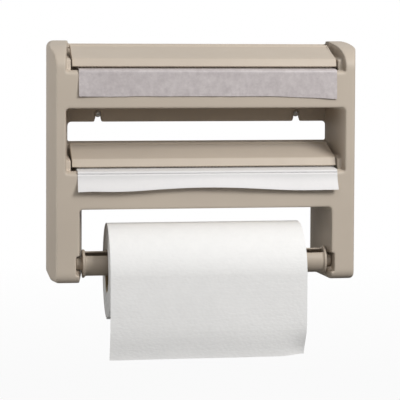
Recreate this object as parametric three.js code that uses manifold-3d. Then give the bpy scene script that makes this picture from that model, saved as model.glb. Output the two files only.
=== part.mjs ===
// Wall-hung kitchen dispenser: two lidded troughs for film and baking paper, and a rod for kitchen roll.
// Millimetres. +X to the viewer's right, -Y out of the wall towards the viewer, +Z up.
// The origin lies on the wall plane, at mid width, behind the lower trough.
import * as THREE from 'three';
import { mergeVertices } from 'three/addons/utils/BufferGeometryUtils.js';
import Module from 'manifold-3d';

const wasm = await Module();
wasm.setup();

// ---- Driving dimensions ---------------------------------------------------------------------------------

const GAP = 0.3; // clearance between pieces that touch
const WALL = 2.4; // moulded wall thickness
const FRONT = 82.5; // depth of the front plane from the wall

const OUTER_FRONT = 174; // half width of the frame at the front plane
const OUTER_KNEE = 180.6; // half width where the side face changes draft
const OUTER_BACK = 181.7; // half width at the wall
const KNEE_DEPTH = 55; // depth of that change of draft
const LAYER = 27.5; // depth of the layers the front view is extruded in, which divides the two depths above
const INNER_FRONT = 163.1; // half width between the cheeks at the front plane
const INNER_DRAFT = 6.8; // how far the cheeks close in from front to wall
const ARM_FRONT = 147.4; // half width between the lower arms at the front plane
const ARM_DRAFT = 8.3; // how far the arms close in from front to wall
const GROUP_SPLIT = 165.8; // parts of the section outside this half width follow the outer draft

const TOP_Z = 136.5; // top of the cheeks
const BOTTOM_Z = -141.9; // bottom of the arms at the front
const BOTTOM_DRAFT = 0.4; // how much lower the arms' bottom is at the wall
const OUTER_CORNER = 8.1; // radius of the outer corners in the front view
const UNIT_PITCH = 116; // height between the two troughs
const UNITS = [0, -UNIT_PITCH]; // height offsets of the upper and the lower trough

const BAR_Z = 59.6; // underside of the upper trough
const POCKET_Z = 99.4; // top of the fascia at the front plane
const SHOULDER_Z = 103.6; // top of the rounded shoulder the film runs over
const SHOULDER_BACK = 70.5; // depth of the shoulder's rear edge
const TROUGH_HALF = 156.5; // half length of the trough's hollow
const PLATE_TOP = 133; // top of the plate behind a lid
const PLATE_THICK = 2.6;
const FLANGE_Z = 39.7; // lower edge of the hanging flange
const FLANGE_THICK = 3.2;

const KEYHOLE_X = 120.2; // half spacing of the wall screws
const SCREW_Z = 49.5;
const SLOT_WIDTH = 5.4;
const SLOT_MOUTH = 7.4;
const RECESS_WIDTH = 10.2;
const RECESS_DEPTH = 1.4;

const HINGE_Y = -17; // lid hinge axis
const HINGE_Z = 128.9;
const PIN_R = 1.5;
const PIN_TIP = 159.6; // half length over the lid's hinge pins
const LID_HALF = 155;
const LID_THICK = 2;
const LID_BACK = [-13.6, 131.6]; // lid section, [y, z] on its upper face
const LID_CREASE = [-64.2, 116.6];
const LID_LIP = [-67.6, 107.4];

const ROLL_Y = -45; // axis of the two wrapped rolls
const FLOOR_Z = 62.4; // floor of the upper trough
const FILM_R = 20;
const BAKING_R = 24;
const WRAP_HALF = 150;
const WRAP_CORE_R = 16;
const WRAP_CORE_BORE = 14.4;

const ROD_Y = -62; // rod axis
const ROD_Z = -121;
const ROD_R = 14.2;
const ROD_WALL = 2;
const ROD_OPEN = 43; // degrees that the channel's opening reaches from the crown towards the front
const ROD_FLANGE_R = 16.4;
const ROD_FLANGE_OUT = 143; // outer face of the rod's end flanges
const ROD_FLANGE_IN = 140.6;
const ROD_PIN_R = 7.5;
const ROD_PIN_TIP = 150.2;
const SEAT_FLOOR = 151; // half width between the floors of the rod's seats
const SEAT_R = 8;
const SEAT_RISE = 6; // degrees that the seat's channel climbs towards the front
const MOUTH_TOP = -110.4; // the square mouth of the channel
const MOUTH_BOTTOM = -132.5;
const MOUTH_DEPTH = 14;

const KITCHEN_R = 55;
const KITCHEN_BORE = 23.5;
const KITCHEN_CORE_R = 25.2;
const KITCHEN_LEFT = -114.6;
const KITCHEN_RIGHT = 111.4;
const KITCHEN_BOTTOM = -223.8; // lower edge of the hanging sheet
const SHEET_THICK = 0.5;

const PLASTIC = { color: 0xb9ae9f, roughness: 0.5, metalness: 0 };
const DARK_PLASTIC = { color: 0xa69b8c, roughness: 0.5, metalness: 0 };
const FILM = { color: 0xbab5b6, roughness: 0.3, metalness: 0 };
const BAKING = { color: 0xe4e2e0, roughness: 0.7, metalness: 0 };
const TISSUE = { color: 0xe2e0de, roughness: 0.95, metalness: 0 };
const CARD = { color: 0xb09a7c, roughness: 0.9, metalness: 0 };
const STEEL = { color: 0xc9c7c2, roughness: 0.3, metalness: 1 };
const NYLON = { color: 0x9a9c9e, roughness: 0.6, metalness: 0 };

// ---- Solids and sections --------------------------------------------------------------------------------

function toSolid(geometry) {
  const bare = geometry.clone();
  bare.deleteAttribute('normal');
  bare.deleteAttribute('uv');
  const merged = mergeVertices(bare, 1e-4);
  const vertProperties = merged.attributes.position.array;
  const triVerts = Uint32Array.from(merged.index.array);
  return new wasm.Manifold(new wasm.Mesh({ numProp: 3, vertProperties, triVerts }));
}

function toGeometry(solid) {
  const { vertProperties, triVerts } = solid.getMesh();
  const geometry = new THREE.BufferGeometry();
  geometry.setAttribute('position', new THREE.BufferAttribute(vertProperties, 3));
  geometry.setIndex(new THREE.BufferAttribute(triVerts, 1));
  geometry.computeVertexNormals();
  return geometry;
}

const unite = (solids) => solids.reduce((sum, solid) => sum.add(solid));

// A closed outline whose corners [u, v, radius] are rounded by true arcs.
function roundedShape(corners, Kind = THREE.Shape) {
  const shape = new Kind();
  corners.forEach(([u, v, radius = 0], index) => {
    const here = new THREE.Vector2(u, v);
    const previous = new THREE.Vector2(...corners.at(index - 1).slice(0, 2));
    const next = new THREE.Vector2(...corners[(index + 1) % corners.length].slice(0, 2));
    const back = previous.sub(here).normalize();
    const ahead = next.sub(here).normalize();
    if (radius === 0) {
      if (index === 0) shape.moveTo(u, v);
      else shape.lineTo(u, v);
      return;
    }
    const half = Math.acos(THREE.MathUtils.clamp(back.dot(ahead), -1, 1)) / 2;
    const middle = back.clone().add(ahead).normalize().multiplyScalar(radius / Math.sin(half)).add(here);
    const start = back.clone().multiplyScalar(radius / Math.tan(half)).add(here).sub(middle);
    const end = ahead.clone().multiplyScalar(radius / Math.tan(half)).add(here).sub(middle);
    if (index === 0) shape.moveTo(start.x + middle.x, start.y + middle.y);
    else if (shape.curves.length === 0) shape.lineTo(start.x + middle.x, start.y + middle.y);
    shape.absarc(middle.x, middle.y, radius, start.angle(), end.angle(), start.cross(end) < 0);
  });
  return shape;
}

// Extrudes a section drawn in (y, z) along X.
function alongX(shape, x0, x1, curveSegments = 5) {
  const geometry = new THREE.ExtrudeGeometry(shape, { depth: x1 - x0, bevelEnabled: false, curveSegments });
  const axes = [new THREE.Vector3(0, 1, 0), new THREE.Vector3(0, 0, 1), new THREE.Vector3(1, 0, 0)];
  geometry.applyMatrix4(new THREE.Matrix4().makeBasis(...axes));
  return geometry.translate(x0, 0, 0);
}

// Extrudes a section drawn in (x, z) from y0 towards the viewer.
function alongY(shape, y0, depth, steps = 1, curveSegments = 5) {
  const geometry = new THREE.ExtrudeGeometry(shape, { depth, steps, bevelEnabled: false, curveSegments });
  return geometry.rotateX(Math.PI / 2).translate(0, y0, 0);
}

function box(x0, x1, y0, y1, z0, z1) {
  const geometry = new THREE.BoxGeometry(x1 - x0, y1 - y0, z1 - z0);
  return geometry.translate((x0 + x1) / 2, (y0 + y1) / 2, (z0 + z1) / 2);
}

// Turns a profile [radius, height] into a solid whose axis runs along X through (y, z).
function turnedX(profile, y, z, segments = 32) {
  const points = profile.map(([radius, height]) => new THREE.Vector2(radius, height));
  return new THREE.LatheGeometry(points, segments).rotateZ(-Math.PI / 2).translate(0, y, z);
}

const rodX = (radius, x0, x1, y, z, segments = 32) =>
  turnedX([[0, x0], [radius, x0], [radius, x1], [0, x1]], y, z, segments);

const tubeX = (bore, radius, x0, x1, y, z, segments = 48) =>
  turnedX([[bore, x0], [radius, x0], [radius, x1], [bore, x1], [bore, x0]], y, z, segments);

const mirrored = (make) => [-1, 1].map((side) => make(side));

// Orders two half widths for the left (-1) or the right (+1) side.
const span = (side, near, far) => (side > 0 ? [near, far] : [-far, -near]);

// ---- Frame ----------------------------------------------------------------------------------------------

// Side view of the cheeks. inset draws the same outline one wall further in, and behind is where it ends.
function sideShape(inset, behind) {
  const front = -(FRONT - inset);
  const top = TOP_Z - inset;
  const bottom = BOTTOM_Z + inset;
  const point = (y, z) => new THREE.Vector2(y, z);
  const crown = new THREE.CubicBezierCurve(
    point(-10, top),
    point(-45, top - 3.5),
    point(front, top - 9.5),
    point(front, top - 30.5),
  );
  const toe = new THREE.CubicBezierCurve(
    point(front, bottom + 13),
    point(front, bottom + 6),
    point(front + 3, bottom),
    point(front + 12, bottom),
  );
  const heel = [point(behind, bottom - BOTTOM_DRAFT), point(behind, top)];
  return new THREE.Shape([...crown.getPoints(14), ...toe.getPoints(10), ...heel]);
}

// Half width at depth y of a wall that is at x on the front plane.
function draftedX(x, y) {
  const size = Math.abs(x);
  const depth = -y;
  const outerBack = OUTER_BACK - (OUTER_BACK - OUTER_KNEE) * (depth / KNEE_DEPTH);
  const outerFront = OUTER_KNEE - (OUTER_KNEE - OUTER_FRONT) * ((depth - KNEE_DEPTH) / (FRONT - KNEE_DEPTH));
  const outer = depth < KNEE_DEPTH ? outerBack : outerFront;
  const inward = (size < (ARM_FRONT + INNER_FRONT) / 2 ? ARM_DRAFT : INNER_DRAFT) * (1 - depth / FRONT);
  const drafted = size > GROUP_SPLIT ? size + outer - OUTER_FRONT : size - inward;
  return Math.sign(x) * drafted;
}

function draft(geometry) {
  const position = geometry.attributes.position;
  for (let i = 0; i < position.count; i += 1) {
    position.setX(i, draftedX(position.getX(i), position.getY(i)));
  }
  return geometry;
}

// A front view, extruded in layers from behind the wall plane to past the front plane.
function deepSection(shape) {
  const layers = 5;
  return toSolid(draft(alongY(shape, LAYER, layers * LAYER, layers)));
}

// Front view of the frame: cheeks and arms outside, two fascias across, one window between them.
function frontShape() {
  const pocket = 4.5;
  const corner = 4;
  const inside = 3;
  const low = BOTTOM_Z - 1;
  const shape = roundedShape([
    [-OUTER_FRONT, low, OUTER_CORNER],
    [-ARM_FRONT, low, inside],
    [-ARM_FRONT, BAR_Z - UNIT_PITCH, corner],
    [ARM_FRONT, BAR_Z - UNIT_PITCH, corner],
    [ARM_FRONT, low, inside],
    [OUTER_FRONT, low, OUTER_CORNER],
    [OUTER_FRONT, TOP_Z, OUTER_CORNER],
    [INNER_FRONT, TOP_Z],
    [INNER_FRONT, POCKET_Z, pocket],
    [-INNER_FRONT, POCKET_Z, pocket],
    [-INNER_FRONT, TOP_Z],
    [-OUTER_FRONT, TOP_Z, OUTER_CORNER],
  ]);
  shape.holes.push(roundedShape([
    [-INNER_FRONT, BAR_Z, corner],
    [INNER_FRONT, BAR_Z, corner],
    [INNER_FRONT, POCKET_Z - UNIT_PITCH, pocket],
    [-INNER_FRONT, POCKET_Z - UNIT_PITCH, pocket],
  ], THREE.Path));
  return shape;
}

// The outside of the frame, as if it were solid.
function frameBlank() {
  const sides = toSolid(alongX(sideShape(0, 0), -OUTER_BACK - 5, OUTER_BACK + 5));
  return deepSection(frontShape()).intersect(sides);
}

// The space inside one cheek and its arm, open towards the wall.
function cheekHollow(side) {
  const outer = OUTER_FRONT - WALL;
  const inner = INNER_FRONT + WALL;
  const arm = ARM_FRONT + WALL;
  const armTop = BAR_Z - UNIT_PITCH - WALL;
  const low = BOTTOM_Z + WALL - 1;
  const shape = roundedShape([
    [side * outer, low, OUTER_CORNER - WALL],
    [side * outer, TOP_Z - WALL, OUTER_CORNER - WALL],
    [side * inner, TOP_Z - WALL],
    [side * inner, armTop],
    [side * arm, armTop, 3],
    [side * arm, low],
  ]);
  const within = toSolid(alongX(sideShape(WALL, 8), -OUTER_BACK, OUTER_BACK));
  return deepSection(shape).intersect(within);
}

// The space in the end of a trough, between its end wall and the cheek.
function endHollow(side, lift) {
  const shape = new THREE.Shape([
    new THREE.Vector2(-FRONT + WALL, FLOOR_Z + lift),
    new THREE.Vector2(1, FLOOR_Z + lift),
    new THREE.Vector2(1, 116 + lift),
    new THREE.Vector2(-66, 112.4 + lift),
    new THREE.Vector2(-66, 98.6 + lift),
    new THREE.Vector2(-FRONT + WALL, 96 + lift),
  ]);
  return toSolid(alongX(shape, ...span(side, TROUGH_HALF + WALL, INNER_FRONT + WALL + 1)));
}

// Stiffening ribs that cross the inside of the cheeks.
function ribs() {
  const heights = [118, 78, 38, -4, -38, -72, -98];
  const thick = 1.8;
  return unite(heights.map((z) => toSolid(box(-190, 190, -FRONT, -6, z, z + thick))));
}

// Section of the hollow that holds a roll, up through the slot behind the shoulder.
function troughHollow(lift) {
  const shape = roundedShape([
    [-FRONT + WALL, FLOOR_Z + lift, 14],
    [-PLATE_THICK, FLOOR_Z + lift, 22],
    [-PLATE_THICK, 150 + lift],
    [-SHOULDER_BACK, 150 + lift],
    [-SHOULDER_BACK, SHOULDER_Z - WALL + lift],
    [-FRONT + WALL, POCKET_Z - WALL + lift, 3],
  ]);
  return toSolid(alongX(shape, -TROUGH_HALF, TROUGH_HALF, 4));
}

// The rounded strip on top of a fascia that the sheet runs over.
function shoulder(lift) {
  const shape = roundedShape([
    [-FRONT, 94 + lift],
    [-FRONT, POCKET_Z + 1.6 + lift, 4],
    [-SHOULDER_BACK - 2, SHOULDER_Z + lift, 3],
    [-SHOULDER_BACK, SHOULDER_Z - 1 + lift],
    [-SHOULDER_BACK, SHOULDER_Z - WALL + lift],
    [-FRONT + WALL, POCKET_Z - WALL + lift],
    [-FRONT + WALL, 94 + lift],
  ]);
  const half = draftedX(INNER_FRONT, -(SHOULDER_BACK + FRONT) / 2) + 1;
  return toSolid(alongX(shape, -half, half));
}

// The ledge beside a lid's end, which closes the wedge between trough and cheek.
function ledge(side, lift) {
  const shape = roundedShape([
    [0, 96 + lift],
    [0, 120 + lift],
    [-68.6, 115.6 + lift, 1.2],
    [-SHOULDER_BACK, 101 + lift],
    [-SHOULDER_BACK, 96 + lift],
  ]);
  return toSolid(alongX(shape, ...span(side, TROUGH_HALF, INNER_FRONT + 1)));
}

// The round boss on a cheek that carries a lid's hinge pin.
function hingeBoss(side, lift) {
  const bossRadius = 3.4;
  return toSolid(rodX(bossRadius, ...span(side, 157.2, 161.4), HINGE_Y, HINGE_Z + lift));
}

const pinHole = (side, lift) =>
  toSolid(rodX(PIN_R + GAP, ...span(side, 150, PIN_TIP + 1.6), HINGE_Y, HINGE_Z + lift, 24));

// The plate against the wall. The upper one runs down into the flange that hangs on the screws.
function backPlate(lift, bottom) {
  const half = 157.6;
  return toSolid(box(-half, half, -PLATE_THICK, 0, bottom, PLATE_TOP + lift));
}

function hangingFlange() {
  const half = 157.6;
  const shape = roundedShape([
    [-half, BAR_Z + 3],
    [-half, FLANGE_Z - 5],
    [-INNER_FRONT + INNER_DRAFT, FLANGE_Z - 5],
    [-INNER_FRONT + INNER_DRAFT, FLANGE_Z, 4],
    [INNER_FRONT - INNER_DRAFT, FLANGE_Z, 4],
    [INNER_FRONT - INNER_DRAFT, FLANGE_Z - 5],
    [half, FLANGE_Z - 5],
    [half, BAR_Z + 3],
  ]);
  return toSolid(alongY(shape, 0, FLANGE_THICK));
}

// A keyhole slot, open at the flange's lower edge, with a wider recess for the screw's head.
function keyhole(side) {
  const slot = roundedShape([
    [-SLOT_MOUTH / 2 - 3, FLANGE_Z - 3],
    [SLOT_MOUTH / 2 + 3, FLANGE_Z - 3],
    [SLOT_MOUTH / 2 + 0.6, FLANGE_Z, 1],
    [SLOT_WIDTH / 2, FLANGE_Z + 5, 2],
    [SLOT_WIDTH / 2, SCREW_Z + SLOT_WIDTH / 2, SLOT_WIDTH / 2 - 0.01],
    [-SLOT_WIDTH / 2, SCREW_Z + SLOT_WIDTH / 2, SLOT_WIDTH / 2 - 0.01],
    [-SLOT_WIDTH / 2, FLANGE_Z + 5, 2],
    [-SLOT_MOUTH / 2 - 0.6, FLANGE_Z, 1],
  ]);
  const half = RECESS_WIDTH / 2;
  const recess = roundedShape([
    [-half, FLANGE_Z - 3],
    [half, FLANGE_Z - 3],
    [half, SCREW_Z + half, half - 0.01],
    [-half, SCREW_Z + half, half - 0.01],
  ]);
  const through = toSolid(alongY(slot, 1, FLANGE_THICK + 2));
  const shallow = toSolid(alongY(recess, RECESS_DEPTH - FLANGE_THICK, 2));
  return through.add(shallow).translate(side * KEYHOLE_X, 0, 0);
}

// Section of the channel that guides the rod's pin back to its seat.
function seatShape(grow) {
  const climb = Math.tan(THREE.MathUtils.degToRad(SEAT_RISE));
  const middle = (y) => ROD_Z + (ROD_Y - y) * climb;
  const deep = -FRONT + MOUTH_DEPTH + grow;
  const shallow = deep - 0.6;
  const beyond = -FRONT - 3;
  const half = SEAT_R + grow;
  const end = half * 0.88; // the two end arcs just meet, as the channel leaves at a slope
  return roundedShape([
    [ROD_Y + half, ROD_Z - half, end],
    [ROD_Y + half, ROD_Z + half, end],
    [deep, middle(deep) + half],
    [shallow, MOUTH_TOP + grow],
    [beyond, MOUTH_TOP + grow],
    [beyond, MOUTH_BOTTOM - grow],
    [shallow, MOUTH_BOTTOM - grow],
    [deep, middle(deep) - half],
  ]);
}

const seatHousing = (side) =>
  toSolid(alongX(seatShape(WALL), ...span(side, ARM_FRONT - ARM_DRAFT / 2, SEAT_FLOOR + WALL)));

const seatChannel = (side) => toSolid(alongX(seatShape(0), ...span(side, 130, SEAT_FLOOR)));

function frameSolid() {
  const blank = frameBlank();
  const everyEnd = (make) => mirrored((side) => unite(UNITS.map((lift) => make(side, lift))));
  const insides = unite([...mirrored(cheekHollow), ...everyEnd(endHollow)]).subtract(ribs());
  const housings = unite(mirrored(seatHousing)).intersect(blank);
  const added = [
    housings,
    hangingFlange(),
    backPlate(0, BAR_Z + 1),
    backPlate(-UNIT_PITCH, BAR_Z - UNIT_PITCH + 1),
    ...UNITS.map(shoulder),
    ...everyEnd(hingeBoss),
  ];
  const ledges = unite(everyEnd(ledge));
  const cuts = [
    ...UNITS.map(troughHollow),
    ...mirrored(keyhole),
    ...mirrored(seatChannel),
    ...everyEnd(pinHole),
  ];
  return blank.add(ledges).subtract(insides).add(unite(added)).subtract(unite(cuts));
}

// ---- Lids and cutters -----------------------------------------------------------------------------------

// Unit vectors along and inwards from the lip.
const LIP = new THREE.Vector2(LID_LIP[0] - LID_CREASE[0], LID_LIP[1] - LID_CREASE[1]).normalize();
const LIP_IN = new THREE.Vector2(-LIP.y, LIP.x);

const onLip = (depth, down) => [
  LID_CREASE[0] + LIP_IN.x * depth + LIP.x * down,
  LID_CREASE[1] + LIP_IN.y * depth + LIP.y * down,
];

const LIP_LENGTH = Math.hypot(LID_LIP[0] - LID_CREASE[0], LID_LIP[1] - LID_CREASE[1]);

function lidShell() {
  const slope = (LID_BACK[1] - LID_CREASE[1]) / (LID_BACK[0] - LID_CREASE[0]);
  const under = (y) => LID_CREASE[1] + (y - LID_CREASE[0]) * slope - LID_THICK * 1.05;
  const innerCrease = onLip(LID_THICK, 2)[0];
  return roundedShape([
    [...LID_CREASE, 3],
    [...onLip(0, LIP_LENGTH), 0.6],
    [...onLip(LID_THICK, LIP_LENGTH), 0.6],
    [innerCrease, under(innerCrease), 1.2],
    [LID_BACK[0], under(LID_BACK[0])],
    [...LID_BACK, 1.2],
  ]);
}

// A thin web under each end of a lid.
function lidWeb(side) {
  const shape = new THREE.Shape([
    new THREE.Vector2(-18, 131.5),
    new THREE.Vector2(-18, 126),
    new THREE.Vector2(-63, 109.5),
    new THREE.Vector2(-64.6, 109.5),
    new THREE.Vector2(-64, 116),
  ]);
  return toSolid(alongX(shape, ...span(side, LID_HALF - 1.6, LID_HALF - 0.01)));
}

function lidSolid() {
  const pins = toSolid(rodX(PIN_R, -PIN_TIP, PIN_TIP, HINGE_Y, HINGE_Z, 24));
  const barrel = toSolid(rodX(3, -LID_HALF + 0.5, LID_HALF - 0.5, HINGE_Y, HINGE_Z, 24));
  const shell = toSolid(alongX(lidShell(), -LID_HALF, LID_HALF));
  return unite([shell, barrel, pins, ...mirrored(lidWeb)]);
}

// The serrated strip behind a lid's lip, with its teeth at the bottom.
function cutterSolid() {
  const pitch = 4;
  const half = 150;
  const tooth = 1.4;
  const thick = 0.8;
  const top = 3.4; // distance below the crease
  const root = LIP_LENGTH - 0.6;
  const corners = [new THREE.Vector2(-half, top), new THREE.Vector2(half, top)];
  for (let x = half; x > -half; x -= pitch) {
    corners.push(new THREE.Vector2(x, root), new THREE.Vector2(x - pitch / 2, root + tooth));
  }
  corners.push(new THREE.Vector2(-half, root));
  const geometry = new THREE.ExtrudeGeometry(new THREE.Shape(corners), { depth: thick, bevelEnabled: false });
  const along = new THREE.Vector3(1, 0, 0);
  const down = new THREE.Vector3(0, LIP.x, LIP.y);
  const inward = new THREE.Vector3().crossVectors(along, down);
  geometry.applyMatrix4(new THREE.Matrix4().makeBasis(along, down, inward));
  const shift = inward.y * LIP_IN.x > 0 ? LID_THICK + GAP : -LID_THICK - GAP - thick;
  return geometry.translate(0, LID_CREASE[0] + inward.y * shift, LID_CREASE[1] + inward.z * shift);
}

// ---- Rolls and sheets -----------------------------------------------------------------------------------

const wrapCentre = (radius, lift) => FLOOR_Z + lift + radius + 0.4;

const wrapCore = (radius, lift) =>
  tubeX(WRAP_CORE_BORE, WRAP_CORE_R, -WRAP_HALF - 2, WRAP_HALF + 2, ROLL_Y, wrapCentre(radius, lift), 32);

const wrapWinding = (radius, lift) =>
  tubeX(WRAP_CORE_R + GAP, radius, -WRAP_HALF, WRAP_HALF, ROLL_Y, wrapCentre(radius, lift));

// A hanging strip that follows the points [y, z] on its wall side.
function hangingSheet(points, x0, x1) {
  const inner = points.map(([y, z]) => new THREE.Vector2(y, z));
  const outer = points.map(([y, z]) => new THREE.Vector2(y - SHEET_THICK, z)).reverse();
  return alongX(new THREE.Shape([...inner, ...outer]), x0, x1);
}

function filmSheet() {
  const y = -FRONT - 0.7;
  return hangingSheet([[y, 100], [y, 73]], -148.2, 152.2);
}

// The baking paper keeps the roll's curl, so its lower edge stands away from the fascia.
function bakingSheet() {
  const top = -16;
  const bottom = -34.2;
  const curl = 6.4;
  const steps = 6;
  const points = Array.from({ length: steps + 1 }, (_, i) => {
    const t = i / steps;
    return [-FRONT - 0.8 - curl * t * t, top + (bottom - top) * t];
  });
  return hangingSheet(points, -149.4, 153.6);
}

const KITCHEN_Z = ROD_Z + ROD_R - KITCHEN_BORE + GAP; // the core hangs on the crown of the rod

const kitchenCore = () =>
  tubeX(KITCHEN_BORE, KITCHEN_CORE_R, KITCHEN_LEFT + 0.5, KITCHEN_RIGHT - 0.5, ROD_Y, KITCHEN_Z, 40);

const kitchenWinding = () =>
  tubeX(KITCHEN_CORE_R + GAP, KITCHEN_R, KITCHEN_LEFT, KITCHEN_RIGHT, ROD_Y, KITCHEN_Z, 64);

function kitchenSheet() {
  const y = ROD_Y - KITCHEN_R - GAP;
  return hangingSheet([[y, KITCHEN_Z], [y, KITCHEN_BOTTOM]], KITCHEN_LEFT, KITCHEN_RIGHT);
}

// The rod: a channel that is open from its crown forwards, with a flange and a pin at each end.
function rodSolid() {
  const bell = 2; // the channel flares over this length into each flange
  const profile = [
    [0, -ROD_PIN_TIP],
    [ROD_PIN_R - 0.8, -ROD_PIN_TIP],
    [ROD_PIN_R, -ROD_PIN_TIP + 0.8],
    [ROD_PIN_R, -ROD_FLANGE_OUT],
    [ROD_FLANGE_R, -ROD_FLANGE_OUT],
    [ROD_FLANGE_R, -ROD_FLANGE_IN],
    [ROD_R + 0.8, -ROD_FLANGE_IN + bell / 3],
    [ROD_R, -ROD_FLANGE_IN + bell],
  ];
  const otherEnd = profile.map(([radius, x]) => [radius, -x]).reverse();
  const outside = toSolid(turnedX([...profile, ...otherEnd], ROD_Y, ROD_Z, 40));
  const inside = toSolid(rodX(ROD_R - ROD_WALL, -ROD_FLANGE_IN + 0.4, ROD_FLANGE_IN - 0.4, ROD_Y, ROD_Z, 40));
  const reach = ROD_R + 4;
  const towards = (degrees) => {
    const angle = THREE.MathUtils.degToRad(degrees);
    return new THREE.Vector2(ROD_Y - reach * Math.sin(angle), ROD_Z + reach * Math.cos(angle));
  };
  const wedge = new THREE.Shape([
    new THREE.Vector2(ROD_Y, ROD_Z),
    towards(0),
    towards(ROD_OPEN / 2),
    towards(ROD_OPEN),
  ]);
  const open = toSolid(alongX(wedge, -ROD_FLANGE_IN + 0.4, ROD_FLANGE_IN - 0.4));
  return outside.subtract(inside).subtract(open);
}

// ---- Wall fixings ---------------------------------------------------------------------------------------

const HEAD_BACK = RECESS_DEPTH - FLANGE_THICK - GAP; // underside of the screw's head
const SCREW_TIP = 30;

// Turns a profile [radius, depth into the wall] about an axis along Y.
function turnedY(profile, segments) {
  const points = profile.map(([radius, depth]) => new THREE.Vector2(radius, depth));
  return new THREE.LatheGeometry(points, segments);
}

function screwSolid(side) {
  const shank = 1.9;
  const head = 3.8;
  const profile = [
    [0, HEAD_BACK - 2.3],
    [1.6, HEAD_BACK - 2.2],
    [2.8, HEAD_BACK - 1.7],
    [head, HEAD_BACK - 0.8],
    [head, HEAD_BACK],
    [shank, HEAD_BACK],
    [shank, SCREW_TIP - 4],
    [0, SCREW_TIP],
  ];
  const cross = [box(-2, 2, -9, HEAD_BACK - 1.1, -0.4, 0.4), box(-0.4, 0.4, -9, HEAD_BACK - 1.1, -2, 2)];
  const drive = unite(cross.map(toSolid));
  return toSolid(turnedY(profile, 20)).subtract(drive).translate(side * KEYHOLE_X, 0, SCREW_Z);
}

// A ribbed nylon plug around the screw's shank.
function plugSolid(side) {
  const bore = 1.9 + GAP;
  const profile = [[bore, GAP], [4.4, GAP], [4.4, GAP + 0.8]];
  for (let y = 4; y < SCREW_TIP - 8; y += 6) {
    profile.push([3.1, y], [3.6, y + 1], [3.6, y + 4]);
  }
  profile.push([2.9, SCREW_TIP - 4], [bore, SCREW_TIP - 4], [bore, GAP]);
  return toSolid(turnedY(profile, 16)).translate(side * KEYHOLE_X, 0, SCREW_Z);
}

// ---- Assembly -------------------------------------------------------------------------------------------

const dispenser = new THREE.Group();

function piece(name, shape, look) {
  const geometry = shape.isBufferGeometry ? shape : toGeometry(shape);
  const mesh = new THREE.Mesh(geometry, new THREE.MeshStandardMaterial(look));
  mesh.name = name;
  dispenser.add(mesh);
  return mesh;
}

piece('frame', frameSolid(), PLASTIC);

['upper', 'lower'].forEach((level, index) => {
  piece(`${level}_lid`, lidSolid(), PLASTIC).position.z = UNITS[index];
  piece(`${level}_cutter`, cutterSolid(), DARK_PLASTIC).position.z = UNITS[index];
});

piece('film_core', wrapCore(FILM_R, UNITS[0]), CARD);
piece('film_winding', wrapWinding(FILM_R, UNITS[0]), FILM);
piece('film_sheet', filmSheet(), FILM);

piece('baking_core', wrapCore(BAKING_R, UNITS[1]), CARD);
piece('baking_winding', wrapWinding(BAKING_R, UNITS[1]), BAKING);
piece('baking_sheet', bakingSheet(), BAKING);

piece('rod', rodSolid(), DARK_PLASTIC);
piece('kitchen_core', kitchenCore(), CARD);
piece('kitchen_winding', kitchenWinding(), TISSUE);
piece('kitchen_sheet', kitchenSheet(), TISSUE);

[['left', -1], ['right', 1]].forEach(([name, side]) => {
  piece(`wall_screw_${name}`, screwSolid(side), STEEL);
  piece(`wall_plug_${name}`, plugSolid(side), NYLON);
});

export default dispenser;
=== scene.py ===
"""Wall-hung dispenser for cling film, baking paper and kitchen roll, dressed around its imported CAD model.

The plastic mouldings are finely skinned copies of their CAD nodes with rounded edges. The rolls, the sheets
drawn from them and the fixings are built here. Lengths are in metres unless a name or comment says otherwise.
"""

import math
import random

import bmesh
import bpy
import numpy as np
from mathutils import Matrix, Vector, noise


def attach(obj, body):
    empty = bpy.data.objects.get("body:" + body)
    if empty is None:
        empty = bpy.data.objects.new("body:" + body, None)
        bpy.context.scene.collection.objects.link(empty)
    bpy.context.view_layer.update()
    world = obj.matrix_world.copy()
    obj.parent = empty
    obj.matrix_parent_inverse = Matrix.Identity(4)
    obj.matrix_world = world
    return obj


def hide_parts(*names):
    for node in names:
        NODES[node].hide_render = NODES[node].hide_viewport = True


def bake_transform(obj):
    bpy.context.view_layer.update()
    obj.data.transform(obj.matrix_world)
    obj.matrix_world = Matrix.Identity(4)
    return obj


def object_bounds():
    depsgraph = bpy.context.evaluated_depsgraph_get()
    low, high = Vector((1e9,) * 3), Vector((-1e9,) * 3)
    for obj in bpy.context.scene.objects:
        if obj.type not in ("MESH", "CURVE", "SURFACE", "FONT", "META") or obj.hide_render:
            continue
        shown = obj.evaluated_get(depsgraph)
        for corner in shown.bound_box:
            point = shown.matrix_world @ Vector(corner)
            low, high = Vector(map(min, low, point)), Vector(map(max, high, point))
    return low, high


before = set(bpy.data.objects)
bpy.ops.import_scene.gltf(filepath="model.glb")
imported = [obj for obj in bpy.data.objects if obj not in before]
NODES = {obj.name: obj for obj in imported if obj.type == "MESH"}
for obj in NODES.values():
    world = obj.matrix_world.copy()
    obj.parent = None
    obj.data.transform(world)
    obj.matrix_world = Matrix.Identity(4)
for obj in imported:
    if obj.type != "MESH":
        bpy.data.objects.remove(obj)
CAD_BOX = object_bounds()
MM = 0.001

FILM_AXIS = (-45 * MM, 82.8 * MM)  # y and z of each roll's axis
BAKING_AXIS = (-45 * MM, -29.2 * MM)
KITCHEN_AXIS = (-62 * MM, -130 * MM)
WRAP_ENDS = (-150 * MM, 150 * MM)  # left and right ends of the film and of the baking paper
WRAP_CORE = (-152 * MM, 152 * MM, 14.4 * MM, 16 * MM)  # a core's two ends, bore and radius
KITCHEN_ENDS = (-114.6 * MM, 111.4 * MM)
KITCHEN_CORE = (-114.1 * MM, 110.9 * MM, 23.5 * MM, 25.2 * MM)
FASCIA_FRONT = -83.1 * MM  # depth of the sheets that hang over the fascias
KITCHEN_FRONT = -117.5 * MM
SCREW_X = 120.2 * MM  # half spacing and height of the wall screws
SCREW_Z = 49.5 * MM


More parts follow.
